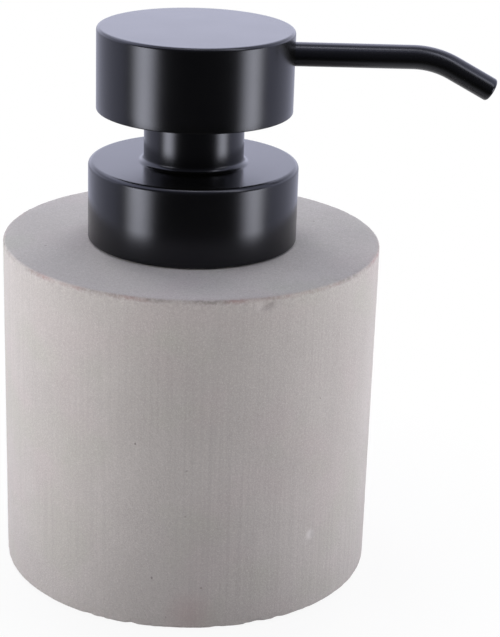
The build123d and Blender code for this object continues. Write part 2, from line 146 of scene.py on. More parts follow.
def lathe_points(profile, segments):
    """Points of a turned shape: profile is (radius, height) rows."""
    ang = np.arange(segments) * (2 * math.pi / segments)
    prof = np.asarray(profile, dtype=float)
    x = prof[:, :1] * np.cos(ang)
    y = prof[:, :1] * np.sin(ang)
    z = np.repeat(prof[:, 1:2], segments, axis=1)
    return np.stack([x, y, z], axis=2).reshape(-1, 3)


def lathe(name, profile, body):
    """A turned piece with a closed profile that keeps off the axis."""
    pts = lathe_points(profile, SHELL_SEGMENTS)
    return mesh_object(name, pts, ring_faces(len(profile), SHELL_SEGMENTS, True), body)


def cup(name, profile, body):
    """A turned piece whose profile starts and ends on the axis."""
    ring = lathe_points(profile[1:-1], SHELL_SEGMENTS)
    rows = len(profile) - 2
    first = len(ring)
    pts = np.vstack([ring, [(0, 0, profile[0][1])], [(0, 0, profile[-1][1])]])
    faces = turned_over(ring_faces(rows, SHELL_SEGMENTS, False))
    base = (rows - 1) * SHELL_SEGMENTS
    for j in range(SHELL_SEGMENTS):
        k = (j + 1) % SHELL_SEGMENTS
        faces.append((first, j, k))
        faces.append((first + 1, base + k, base + j))
    return mesh_object(name, pts, faces, body)


def arc(cx, cz, r, a0, a1, n):
    """Points of a circular arc, angles in degrees."""
    return [
        (cx + r * math.cos(math.radians(a)), cz + r * math.sin(math.radians(a)))
        for a in np.linspace(a0, a1, n)
    ]


def run(p, q, n):
    """n points from p to q, without q."""
    return [(p[0] + (q[0] - p[0]) * t / n, p[1] + (q[1] - p[1]) * t / n) for t in range(n)]


def lattice(cells, seed):
    """Random values for the noise below."""
    return np.random.RandomState(seed).rand(cells, cells, cells)


def value_noise(p, scale, table):
    """Smooth value noise in 0..1 at points p (mm), with features of about scale mm."""
    n = table.shape[0]
    q = p / scale
    i0 = np.floor(q).astype(int)
    f = q - i0
    f = f * f * (3 - 2 * f)
    out = np.zeros(p.shape[0])
    for dx in (0, 1):
        wx = f[:, 0] if dx else 1 - f[:, 0]
        for dy in (0, 1):
            wy = f[:, 1] if dy else 1 - f[:, 1]
            for dz in (0, 1):
                wz = f[:, 2] if dz else 1 - f[:, 2]
                v = table[(i0[:, 0] + dx) % n, (i0[:, 1] + dy) % n, (i0[:, 2] + dz) % n]
                out += wx * wy * wz * v
    return out


# Materials

class Nodes:
    """Short calls for the nodes used here, in the tree of a material, a lamp or the world."""

    def __init__(self, tree):
        self.tree = tree

    def node(self, kind, **sets):
        n = self.tree.nodes.new(kind)
        for key, value in sets.items():
            setattr(n, key, value)
        return n

    def link(self, a, b):
        self.tree.links.new(a, b)

    def put(self, socket, value):
        if isinstance(value, bpy.types.NodeSocket):
            self.link(value, socket)
        else:
            socket.default_value = value

    def span(self, value, a, b, lo=0.0, hi=1.0, how="LINEAR"):
        n = self.node("ShaderNodeMapRange", interpolation_type=how)
        for i, v in enumerate((value, a, b, lo, hi)):
            self.put(n.inputs[i], v)
        return n.outputs["Result"]

    def math(self, op, *values):
        n = self.node("ShaderNodeMath", operation=op)
        for socket, value in zip(n.inputs, values):
            self.put(socket, value)
        return n.outputs["Value"]

    def mix_value(self, fac, a, b):
        n = self.node("ShaderNodeMix", data_type="FLOAT")
        for i, v in zip((0, 2, 3), (fac, a, b)):
            self.put(n.inputs[i], v)
        return n.outputs[0]

    def axes(self, vector):
        n = self.node("ShaderNodeSeparateXYZ")
        self.link(vector, n.inputs[0])
        return n.outputs["X"], n.outputs["Y"], n.outputs["Z"]


class Shader(Nodes):
    """A material with a Principled shader, patterned in the object's own coordinates."""

    def __init__(self, name):
        self.mat = bpy.data.materials.new(name)
        self.mat.use_nodes = True
        super().__init__(self.mat.node_tree)
        self.bsdf = self.tree.nodes["Principled BSDF"]
        self.coord = self.node("ShaderNodeTexCoord").outputs["Object"]

    def scaled(self, scale):
        m = self.node("ShaderNodeMapping")
        m.inputs["Scale"].default_value = scale
        self.link(self.coord, m.inputs["Vector"])
        return m.outputs["Vector"]

    def noise(self, scale, detail, rough, vector=None):
        n = self.node("ShaderNodeTexNoise")
        n.inputs["Scale"].default_value = scale
        n.inputs["Detail"].default_value = detail
        n.inputs["Roughness"].default_value = rough
        self.link(vector or self.coord, n.inputs["Vector"])
        return n.outputs["Fac"]

    def cells(self, scale):
        n = self.node("ShaderNodeTexVoronoi")
        n.inputs["Scale"].default_value = scale
        self.link(self.coord, n.inputs["Vector"])
        return n.outputs["Distance"], n.outputs["Color"]

    def specks(self, scale, channel, rarity, core, rim):
        """Round specks in the cells whose colour channel is above rarity."""
        dot, hue = self.cells(scale)
        split = self.node("ShaderNodeSeparateColor")
        self.link(hue, split.inputs["Color"])
        few = self.math("GREATER_THAN", split.outputs[channel], rarity)
        return self.math("MULTIPLY", self.span(dot, core, rim, 1.0, 0.0), few)

    def distance(self, place):
        n = self.node("ShaderNodeVectorMath", operation="DISTANCE")
        self.link(self.coord, n.inputs[0])
        n.inputs[1].default_value = place
        return n.outputs["Value"]

    def mix(self, fac, a, b, how="MIX"):
        n = self.node("ShaderNodeMix", data_type="RGBA", blend_type=how)
        self.put(n.inputs["Factor"], fac)
        self.put(n.inputs[6], a)
        self.put(n.inputs[7], b)
        return n.outputs[2]

    def bump(self, height, distance, strength, normal=None):
        n = self.node("ShaderNodeBump")
        n.inputs["Strength"].default_value = strength
        n.inputs["Distance"].default_value = distance
        self.link(height, n.inputs["Height"])
        if normal:
            self.link(normal, n.inputs["Normal"])
        return n.outputs["Normal"]

    def finish(self, color, rough, normal=None, **sockets):
        self.put(self.bsdf.inputs["Base Color"], color)
        self.put(self.bsdf.inputs["Roughness"], rough)
        if normal:
            self.link(normal, self.bsdf.inputs["Normal"])
        for key, value in sockets.items():
            self.put(self.bsdf.inputs[key.replace("_", " ")], value)
        return self.mat


def rgb(r, g, b):
    """Linear colour from 8-bit display values."""
    lin = [
        c / 12.92 if c <= 0.04045 else ((c + 0.055) / 1.055) ** 2.4
        for c in (r / 255, g / 255, b / 255)
    ]
    return (lin[0], lin[1], lin[2], 1.0)


def concrete_material():
    """Fine grey cast concrete: sand grain, tinted clouds, vertical mould streaks, pores, a worn arris."""
    s = Shader("concrete")
    cloud = s.noise(45.0, 4.0, 0.6)
    warm = s.noise(60.0, 2.0, 0.5)
    cool = s.noise(52.0, 2.0, 0.5, s.scaled((1.0, 1.0, 1.3)))
    streak = s.noise(1.0, 2.0, 0.6, s.scaled((1500.0, 1500.0, 16.0)))
    streaky = s.noise(38.0, 2.0, 0.5)
    sand = s.noise(2400.0, 2.0, 0.65)
    grain = s.noise(4600.0, 2.0, 0.65)
    base = s.mix(s.span(cloud, 0.35, 0.65), rgb(171, 165, 160), rgb(178, 172, 167))
    base = s.mix(s.span(warm, 0.5, 0.68, 0.0, 0.4), base, rgb(177, 165, 163))
    base = s.mix(s.span(cool, 0.52, 0.68, 0.0, 0.6), base, rgb(169, 167, 157))
    drawn = s.math("MULTIPLY", s.span(streak, 0.42, 0.62), s.span(streaky, 0.4, 0.62, 0.1, 0.3))
    base = s.mix(drawn, base, rgb(155, 149, 144))
    base = s.mix(s.span(sand, 0.36, 0.64, 0.0, 0.3), base, rgb(148, 142, 136))
    base = s.mix(s.span(grain, 0.52, 0.7, 0.0, 0.42), base, rgb(207, 201, 196))
    # The pores are real, and their darker colour is painted shade inside them
    pore = s.specks(300.0, 0, 0.86, 0.04, 0.1)
    base = s.mix(s.math("MULTIPLY", pore, 0.45), base, rgb(97, 90, 86))

    height = s.axes(s.coord)[2]

    def under_top(a, b, lo=0.0, hi=1.0):
        """A change from lo to hi between two depths under the top face, in millimetres."""
        return s.span(height, (TOP_Z - a) * MM, (TOP_Z - b) * MM, lo, hi)

    # Painted light: the top face is tinted cooler, a painted stand-in for the bluish light it gets from
    # the wall behind
    base = s.mix(under_top(0.3, 0.1), base, (0.99, 1.015, 1.03, 1.0), "MULTIPLY")

    # The arris: a thin, broken, darker line with rusty stretches over a crumbly band
    side = under_top(0.3, 0.05, 1.0, 0.0)
    band = s.math("MULTIPLY", under_top(4.0, 0.5, 0.0, 0.24), side)
    crumb = s.span(s.noise(1500.0, 2.0, 0.7), 0.36, 0.64)
    base = s.mix(band, base, s.mix(crumb, rgb(140, 134, 129), rgb(201, 195, 190)))
    line = s.math("MULTIPLY", under_top(1.2, 0.6), side)
    line = s.math("MULTIPLY", line, s.span(s.noise(130.0, 3.0, 0.6), 0.36, 0.6, 0.15, 0.6))
    line = s.math("MULTIPLY", line, s.span(s.noise(1100.0, 2.0, 0.7), 0.35, 0.6, 0.35, 1.0))
    rust = s.span(s.noise(75.0, 2.0, 0.5), 0.45, 0.56)
    base = s.mix(line, base, s.mix(rust, rgb(108, 102, 98), rgb(141, 106, 104)))

    # A faint rusty stain low on the front and, to the right of it, a pale chip with a greyer middle
    for place, reach, strength, tint in (
        ((0.001, -0.0396, 0.0035), 0.006, 0.3, rgb(166, 140, 137)),
        ((0.0261, -0.0303, 0.0178), 0.0015, 0.7, rgb(203, 200, 197)),
        ((0.0264, -0.03, 0.0176), 0.0008, 0.6, rgb(163, 158, 154)),
    ):
        base = s.mix(s.span(s.distance(place), 0.2 * reach, reach, strength, 0.0), base, tint)
    rough_bump = s.bump(sand, 0.00013, 0.5)
    fine_bump = s.bump(grain, 0.00008, 0.5, rough_bump)
    pit_bump = s.bump(s.math("SUBTRACT", 1.0, pore), 0.0002, 0.6, fine_bump)
    return s.finish(base, s.span(sand, 0.3, 0.7, 0.84, 0.96), pit_bump)


def black_coat(name):
    """Satin black coating on metal, with a very fine orange peel and a few specks of dust."""
    s = Shader(name)
    peel = s.noise(900.0, 2.0, 0.5)
    smear = s.noise(60.0, 3.0, 0.6)
    dust = s.specks(420.0, 1, 0.988, 0.03, 0.07)
    base = s.mix(s.span(smear, 0.35, 0.7), (0.0013, 0.0012, 0.0008, 1), (0.0021, 0.002, 0.0015, 1))
    base = s.mix(s.math("MULTIPLY", dust, 0.6), base, (0.2, 0.2, 0.21, 1))
    rough = s.span(smear, 0.3, 0.7, 0.225, 0.25)
    normal = s.bump(peel, 0.00001, 0.12)
    return s.finish(base, rough, normal, IOR=1.45, Specular_Tint=(0.84, 0.86, 1.0, 1.0))


def plastic(name, dark, light, rough, clear=0.0):
    """Moulded plastic with a slight cloudiness and a fine mould texture."""
    s = Shader(name)
    cloud = s.noise(120.0, 3.0, 0.55)
    tex = s.noise(2600.0, 2.0, 0.6)
    base = s.mix(s.span(cloud, 0.3, 0.7), dark, light)
    normal = s.bump(tex, 0.00002, 0.25)
    mat = s.finish(base, s.span(tex, 0.3, 0.7, rough - 0.05, rough + 0.05), normal)
    if clear:
        s.bsdf.inputs["Transmission Weight"].default_value = clear
        s.bsdf.inputs["IOR"].default_value = 1.5
    return mat


def steel(name):
    """Drawn steel wire and polished balls, with fine draw marks."""
    s = Shader(name)
    mark = s.noise(1.0, 3.0, 0.6, s.scaled((2500.0, 2500.0, 600.0)))
    base = s.mix(s.span(mark, 0.3, 0.7), (0.5, 0.5, 0.52, 1), (0.66, 0.66, 0.68, 1))
    normal = s.bump(mark, 0.000008, 0.3)
    return s.finish(base, s.span(mark, 0.3, 0.7, 0.2, 0.3), normal, Metallic=1.0)


def rubber(name, dark, light):
    """Matte rubber with a fine moulded grain."""
    s = Shader(name)
    grain = s.cells(1600.0)[0]
    cloud = s.noise(180.0, 3.0, 0.6)
    base = s.mix(s.span(cloud, 0.3, 0.7), dark, light)
    normal = s.bump(grain, 0.00004, 0.4)
    return s.finish(base, s.span(cloud, 0.3, 0.7, 0.68, 0.82), normal)


CONCRETE = concrete_material()
COAT = black_coat("black_metal")
BLACK = plastic("black_plastic", (0.006, 0.006, 0.007, 1), (0.011, 0.011, 0.012, 1), 0.42)
NATURAL = plastic("natural_plastic", (0.42, 0.42, 0.4, 1), (0.5, 0.5, 0.48, 1), 0.4)
TUBE = plastic("tube_plastic", (0.46, 0.48, 0.48, 1), (0.55, 0.57, 0.57, 1), 0.35, 0.35)
STEEL = steel("steel")
RUBBER = rubber("seal_rubber", (0.012, 0.012, 0.012, 1), (0.022, 0.022, 0.022, 1))
PAD = rubber("pad_rubber", (0.016, 0.016, 0.016, 1), (0.03, 0.03, 0.03, 1))

NODE_MATERIALS = {
    "inner_bottle": NATURAL,
    "neck_insert": NATURAL,
    "base_pad": PAD,
    "gasket": RUBBER,
    "pump_housing": NATURAL,
    "stem_guide": BLACK,
    "ball_cage": NATURAL,
    "inlet_ball": STEEL,
    "dip_tube": TUBE,
    "closure_cap": BLACK,
    "stem": BLACK,
    "piston_seal": TUBE,
    "piston_retainer": NATURAL,
    "outlet_ball": STEEL,
    "head_core": BLACK,
    "spout_o_ring": RUBBER,
}
for node, mat in NODE_MATERIALS.items():
    obj = nodes[node]
    obj.data.materials.clear()
    obj.data.materials.append(mat)


def dress(obj, mat, slot, *replaced):
    """Puts the material on a piece and hides the CAD nodes that it stands for; slot is not used."""
    obj.data.materials.append(mat)
    if replaced:
        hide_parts(*replaced)


# Concrete casing

# The hidden room for the soap container, from its shoulder to its floor: radius and height
CONTAINER_ROOM = (
    (15.6, 64.5),
    (28.0, 63.2),
    (32.0, 60.5),
    (CONTAINER_R, 56.0),
    (CONTAINER_R, 30.0),
    (CONTAINER_R, 10.0),
    (32.4, 7.9),
    (30.0, CONTAINER_FLOOR_Z),
    (12.0, CONTAINER_FLOOR_Z),
)

# The casing's outline keeps this far off the axis
AXIS_R = 0.4

# The casing is roughened outside this radius, and on its top face
SKIN_R = 36.0

# Centres of the pores and marks of the side lie on this radius
SIDE_R = 39.95

# Chipped stretches of the bottom edge: bearing and half width in degrees
CHIPPED = ((-66, 14), (-112, 8), (35, 12), (120, 9), (175, 10))

# Single marks on the side: bearing, height, size and depth
MARKS = (
    (-69.6, 70.8, 1.3, 0.36),
    (-68.2, 70.9, 1.3, 0.42),
    (-66.8, 71.1, 1.3, 0.36),
    (-49.3, 17.8, 1.7, 0.24),
)


def casing_profile():
    """Closed half outline of the casing, fine where it shows."""
    foot = 0.3
    rim = 0.6
    inset = 2.0
    low = (BODY_BASE_R + 0.02, BASE_Z + 4.0)
    high = (BODY_TOP_R - 0.02, TOP_Z - 6.0)
    edge = (BODY_TOP_R - 2.4, TOP_Z)
    p = run((PAD_EDGE_R, RECESS_Z), (PAD_EDGE_R, BASE_Z), 2)
    p += run((PAD_EDGE_R, BASE_Z), (BODY_BASE_R - inset, BASE_Z), 8)
    p += run((BODY_BASE_R - inset, BASE_Z), (BODY_BASE_R - foot, BASE_Z), 7)
    p += arc(BODY_BASE_R - foot, BASE_Z + foot, foot, -90, 0, 4)
    p += run((BODY_BASE_R, BASE_Z + 0.6), low, 18)
    p += run(low, high, 130)
    p += run(high, (BODY_TOP_R, TOP_Z - 0.9), 18)
    p += arc(BODY_TOP_R - rim, TOP_Z - rim, rim, 0, 90, 7)
    p += run((BODY_TOP_R - 0.9, TOP_Z), edge, 6)
    p += run(edge, (COLLAR_R, TOP_Z), 36)
    p += run((COLLAR_R, TOP_Z), (NECK_RING_R, TOP_Z), 6)
    p += run((NECK_RING_R, TOP_Z), (NECK_RING_R, NECK_RING_Z), 2)
    p += run((NECK_RING_R, NECK_RING_Z), (MOUTH_R, NECK_RING_Z), 2)
    p += run((MOUTH_R, NECK_RING_Z), (MOUTH_R, MOUTH_FOOT_Z), 2)
    p += CONTAINER_ROOM
    p += [(AXIS_R, CONTAINER_FLOOR_Z), (AXIS_R, RECESS_Z)]
    return p


def worn_depth(pts, r, z):
    """How deep the casing's face lies under the plain outline: unevenness, chipped foot, worn rim."""
    depth = 0.04 * value_noise(pts, 9.0, lattice(16, 3))
    depth += 0.02 * value_noise(pts, 2.2, lattice(24, 5))
    depth += 0.02 * value_noise(pts, 0.8, lattice(32, 7))

    # Crumbled bottom edge: chips where a coarse noise runs high, deepest at the rim itself
    foot = np.clip(1 - (z - BASE_Z) / 2.2, 0, 1) * np.clip((r - SKIN_R) / 3.0, 0, 1)
    chip = np.clip(value_noise(pts, 2.2, lattice(24, 11)) - 0.5, 0, 1)
    chip += 0.5 * np.clip(value_noise(pts, 1.0, lattice(24, 12)) - 0.5, 0, 1)
    bearing = np.degrees(np.arctan2(pts[:, 1], pts[:, 0]))
    spell = np.full(len(pts), 0.22)
    for middle, width in CHIPPED:
        spell += np.exp(-(((bearing - middle + 180) % 360 - 180) / width) ** 2)
    depth += 0.8 * chip * np.minimum(spell, 1) * foot ** 1.6

    # Slightly worn top edge
    lip = np.clip(1 - (TOP_Z - z) / 1.2, 0, 1) * np.clip((r - BODY_TOP_R + 1.8) / 1.5, 0, 1)
    depth += 0.16 * np.clip(value_noise(pts, 2.6, lattice(24, 13)) - 0.45, 0, 1) * lip
    band = np.clip(1 - (TOP_Z - z) / 4.5, 0, 1) * np.clip((r - BODY_TOP_R + 1.4) / 0.8, 0, 1)
    depth += 0.07 * value_noise(pts, 0.8, lattice(32, 17)) * band
    return depth


def add_pits(depth, pts):
    """Pores, pits and marks on the side and the top, added to the depth."""
    rng = np.random.RandomState(21)
    spots = []
    for _ in range(90):
        ang = rng.uniform(0, 2 * math.pi)
        spots.append((SIDE_R, ang, rng.uniform(3, 71), rng.uniform(0.2, 0.4), rng.uniform(0.05, 0.16)))
    for _ in range(24):
        ang = rng.uniform(0, 2 * math.pi)
        spots.append((rng.uniform(24, 39), ang, TOP_Z, rng.uniform(0.2, 0.4), rng.uniform(0.05, 0.14)))
    for bearing, height, size, deep in MARKS:
        spots.append((SIDE_R, math.radians(bearing), height, size, deep))
    for rad, ang, height, size, deep in spots:
        centre = np.array([rad * math.cos(ang), rad * math.sin(ang), height])
        near = np.nonzero(np.abs(pts[:, 2] - height) < 2.5 * size)[0]
        away = np.linalg.norm(pts[near] - centre, axis=1)
        depth[near] += deep * np.exp(-((away / (0.6 * size)) ** 2))


def concrete_casing():
    """The cast body: turned, then roughened, chipped and pitted inwards."""
    profile = casing_profile()
    pts = lathe_points(profile, CASING_SEGMENTS)
    r = np.hypot(pts[:, 0], pts[:, 1])
    z = pts[:, 2]
    depth = worn_depth(pts, r, z)
    add_pits(depth, pts)
    shown = (r > MOUTH_R + 0.1) & (z > BASE_Z - 0.01) & ((r > SKIN_R) | (z > TOP_Z - 0.01))
    depth = np.where(shown, depth, 0.0)

    # The side goes inwards, the top goes down and the rim of the foot goes up
    skin = np.where(r > SKIN_R, 1.0, 0.0)
    turn = 0.65
    top_share = np.clip((z - (TOP_Z - turn)) / turn, 0, 1)
    foot_share = 0.6 * np.clip((BASE_Z + 0.4 - z) / 0.4, 0, 1)
    scale = 1 - depth * (1 - top_share) * skin / np.maximum(r, 1.0)
    pts[:, 0] *= scale
    pts[:, 1] *= scale
    pts[:, 2] -= depth * top_share
    pts[:, 2] += depth * foot_share * skin
    faces = ring_faces(len(profile), CASING_SEGMENTS, True)
    obj = mesh_object("concrete_casing", pts, faces, "bottle", 50.0)
    dress(obj, CONCRETE, "concrete", "concrete_body")


concrete_casing()


# Black metal shells

def collar_profile():
    """Closed half outline of the collar and neck."""
    edge = 1.0
    root = 1.2
    lip = 0.3
    inner = NECK_R - SHELL_T
    roof = COLLAR_TOP - SHELL_T
    p = arc(COLLAR_R - 0.15, COLLAR_Z + 0.15, 0.15, -90, 0, 4)
    p += run((COLLAR_R, COLLAR_Z + 0.6), (COLLAR_R, COLLAR_TOP - edge - 0.4), 10)
    p += [(COLLAR_R, COLLAR_TOP - edge - 0.25)]
    p += arc(COLLAR_R - edge, COLLAR_TOP - edge, edge, 0, 90, 12)
    p += run((COLLAR_R - edge - 0.3, COLLAR_TOP), (NECK_R + root + 0.3, COLLAR_TOP), 6)
    p += [(NECK_R + root + 0.3, COLLAR_TOP)]
    p += arc(NECK_R + root, COLLAR_TOP + root, root, -90, -180, 10)
    p += run((NECK_R, COLLAR_TOP + root + 0.3), (NECK_R, NECK_TOP - 0.6), 6)
    p += arc(NECK_R - lip, NECK_TOP - lip, lip, 0, 90, 5)
    p += arc(inner + lip, NECK_TOP - lip, lip, 90, 180, 5)
    p += run((inner, NECK_TOP - 0.6), (inner, roof), 3)
    p += run((inner, roof), (COLLAR_R - SHELL_T, roof), 3)
    p += run((COLLAR_R - SHELL_T, roof), (COLLAR_R - SHELL_T, COLLAR_Z), 4)
    p += [(COLLAR_R - SHELL_T, COLLAR_Z)]
    return p


def head_profile():
    """Half outline of the head's cup, from the middle of its top round to its inside."""
    edge = 0.7
    lip = 0.2
    inner = HEAD_R - SHELL_T
    roof = HEAD_TOP - HEAD_TOP_T
    p = [(0.0, HEAD_TOP)]
    p += run((2.0, HEAD_TOP), (HEAD_R - edge - 0.3, HEAD_TOP), 6)
    p += [(HEAD_R - edge - 0.2, HEAD_TOP)]
    p += arc(HEAD_R - edge, HEAD_TOP - edge, edge, 90, 0, 10)
    p += run((HEAD_R, HEAD_TOP - edge - 0.2), (HEAD_R, HEAD_Z + 0.6), 10)
    p += arc(HEAD_R - lip, HEAD_Z + lip, lip, 0, -90, 5)
    p += arc(inner + lip, HEAD_Z + lip, lip, -90, -180, 5)
    p += run((inner, HEAD_Z + 0.6), (inner, roof), 4)
    p += run((inner, roof), (2.0, roof), 4)
    p += [(0.0, roof)]
    return p


dress(lathe("collar_neck", collar_profile(), "closure"), COAT, "black_metal", "collar_shell")
dress(cup("press_head", head_profile(), "head"), COAT, "black_metal", "head_shell")


def spout_line():
    """Middle line of the spout as (x, z, slope) rows, up to its last straight but without its end."""
    line = [(x, SPOUT_Z, 0.0) for x in np.linspace(SPOUT_START_X, SPOUT_BEND_X, 16)]
    steps = 24
    for i in range(1, steps + 1):
        a = math.radians(SPOUT_BEND_DEG * i / steps)
        x = SPOUT_BEND_X + SPOUT_BEND_R * math.sin(a)
        line.append((x, SPOUT_Z - SPOUT_BEND_R * (1 - math.cos(a)), a))
    bx, bz, slope = line[-1]
    for t in np.linspace(0, SPOUT_END_L, 8)[1:-1]:
        line.append((bx + math.cos(slope) * t, bz - math.sin(slope) * t, slope))
    end = (bx + math.cos(slope) * SPOUT_END_L, bz - math.sin(slope) * SPOUT_END_L, slope)
    return line, end


def spout():
    """Bent tube with a rounded, square-cut tip."""
    line, (ex, ez, slope) = spout_line()
    tip = 0.6
    rings = [(SPOUT_BORE_R, line[0]), (SPOUT_R, line[0])]
    rings += [(SPOUT_R, q) for q in line[1:]]
    for a in np.radians(np.linspace(0, 90, 6)):
        back = tip * (1 - math.sin(a))
        place = (ex - math.cos(slope) * back, ez + math.sin(slope) * back, slope)
        rings.append((SPOUT_R - tip * (1 - math.cos(a)), place))
    rings.append((SPOUT_BORE_R, (ex, ez, slope)))
    rings += [(SPOUT_BORE_R, q) for q in reversed(line[1:])]
    pts = []
    for r, (x, z, a) in rings:
        for j in range(SPOUT_SEGMENTS):
            t = 2 * math.pi * j / SPOUT_SEGMENTS
            up = r * math.cos(t)
            pts.append((x + up * math.sin(a), r * math.sin(t), z + up * math.cos(a)))
    faces = turned_over(ring_faces(len(rings), SPOUT_SEGMENTS, True))
    return mesh_object("spout", pts, faces, "head")


dress(spout(), COAT, "black_metal", "spout_tube")


# Spring and threads

def tube_along(name, points, radius, body):
    """A round wire along points, with flat ends."""
    pts = np.asarray(points, dtype=float)
    tan = np.gradient(pts, axis=0)
    tan /= np.linalg.norm(tan, axis=1)[:, None]
    verts = []
    for p, t in zip(pts, tan):
        side = np.cross(t, (0, 0, 1))
        side /= np.linalg.norm(side)
        up = np.cross(side, t)
        for j in range(WIRE_SEGMENTS):
            a = 2 * math.pi * j / WIRE_SEGMENTS
            verts.append(p + radius * (math.cos(a) * side + math.sin(a) * up))
    n = len(pts)
    faces = ring_faces(n, WIRE_SEGMENTS, False)
    faces.append(tuple(reversed(range(WIRE_SEGMENTS))))
    faces.append(tuple(range((n - 1) * WIRE_SEGMENTS, n * WIRE_SEGMENTS)))
    return mesh_object(name, verts, faces, body)


def coil_spring():
    """Compression spring with a closed coil at each end."""
    dead = 1.15
    active = 7.2
    turns = 2 * dead + active
    steps = 26
    z = SPRING_FOOT + SPRING_WIRE_R
    closed_rise = 2 * SPRING_WIRE_R * 1.05
    open_rise = (SPRING_HEAD - SPRING_WIRE_R - z - 2 * dead * closed_rise) / active
    pts = []
    for i in range(int(turns * steps) + 1):
        t = i / steps
        pts.append((SPRING_R * math.cos(2 * math.pi * t), SPRING_R * math.sin(2 * math.pi * t), z))
        z += (open_rise if dead < t < turns - dead else closed_rise) / steps
    coil = tube_along("coil_spring", pts, SPRING_WIRE_R, "pump")
    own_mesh(coil)
    dress(coil, STEEL, "steel", "return_spring")


coil_spring()


def thread(name, root_r, crest_r, z0, body, start):
    """A rounded screw thread that runs out at both ends."""
    steps = int(THREAD_TURNS * 72)
    root_w = 1.15
    crest_w = 0.42
    verts = []
    for i in range(steps + 1):
        t = i / steps
        ang = math.radians(start) + 2 * math.pi * THREAD_TURNS * t
        fade = min(1.0, t * THREAD_TURNS * 8, (1 - t) * THREAD_TURNS * 8)
        crest = root_r + (crest_r - root_r) * (0.12 + 0.88 * fade)
        zc = z0 + THREAD_PITCH * THREAD_TURNS * t
        for r, dz in ((root_r, -root_w), (crest, -crest_w), (crest, crest_w), (root_r, root_w)):
            verts.append((r * math.cos(ang), r * math.sin(ang), zc + dz))
    faces = ring_faces(steps + 1, 4, False)
    faces.append((3, 2, 1, 0))
    faces.append(tuple(range(4 * steps, 4 * steps + 4)))
    if crest_r < root_r:
        faces = turned_over(faces)
    return mesh_object(name, verts, faces, body)


neck_crest = NECK_THREAD_R + THREAD_DEPTH
neck_thread = thread("neck_thread", NECK_THREAD_R, neck_crest, NECK_THREAD_Z, "bottle", 0.0)
dress(neck_thread, NATURAL, "natural_plastic")
cap_crest = CAP_THREAD_R - THREAD_DEPTH
cap_thread = thread("cap_thread", CAP_THREAD_R, cap_crest, CAP_THREAD_Z, "closure", 180.0)
dress(cap_thread, BLACK, "black_plastic")


# Floor, light, camera

def floor():
    """A small pale round floor that shows white to the camera and keeps the shadow."""
    radius = 230.0
    level = -0.05
    segments = 128
    pts = [(0, 0, level)]
    for j in range(segments):
        a = 2 * math.pi * j / segments
        pts.append((radius * math.cos(a), radius * math.sin(a), level))
    mesh = bpy.data.meshes.new("floor")
    faces = [(0, 1 + j, 1 + (j + 1) % segments) for j in range(segments)]
    mesh.from_pydata([(x * MM, y * MM, z * MM) for x, y, z in pts], [], faces)
    obj = bpy.data.objects.new("floor", mesh)
    scene.collection.objects.link(obj)
    s = Shader("floor")
    s.finish((0.6, 0.6, 0.6, 1), 0.9)
    path = s.node("ShaderNodeLightPath").outputs
    mirrored = path["Is Glossy Ray"]
    seen = s.math("MAXIMUM", path["Is Camera Ray"], path["Is Transmission Ray"])
    seen = s.math("MAXIMUM", seen, mirrored)

    # Near the object a share of the shaded floor shows, with its shadow
    share = s.span(s.distance((0, 0, 0)), 0.045, 0.1, 0.92, 1.0)

    # Reflections see a pool of light that is centred behind and to the right
    pool = s.span(s.distance((0.06, 0.06, 0.0)), 0.085, 0.185, 0.9, 0.06)
    glow = s.node("ShaderNodeEmission")
    glow.inputs["Color"].default_value = (1, 1, 1, 1)
    s.link(s.mix_value(mirrored, 1.0, pool), glow.inputs["Strength"])
    mixed = s.node("ShaderNodeMixShader")
    s.link(s.math("MULTIPLY", seen, share), mixed.inputs[0])
    s.link(s.bsdf.outputs["BSDF"], mixed.inputs[1])
    s.link(glow.outputs["Emission"], mixed.inputs[2])
    s.link(mixed.outputs["Shader"], s.tree.nodes["Material Output"].inputs["Surface"])
    mesh.materials.append(s.mat)


floor()

scene.view_settings.view_transform = "Standard"

# Brightness of the studio: the wall behind, the room and its ceiling, and, for reflections alone,
# the wall higher up and the room in front
WALL_LIGHT = 1.74
ROOM_LIGHT = 0.03
CEILING_LIGHT = 0.2
UPPER_WALL = 1.6
FRONT_ROOM = 0.11


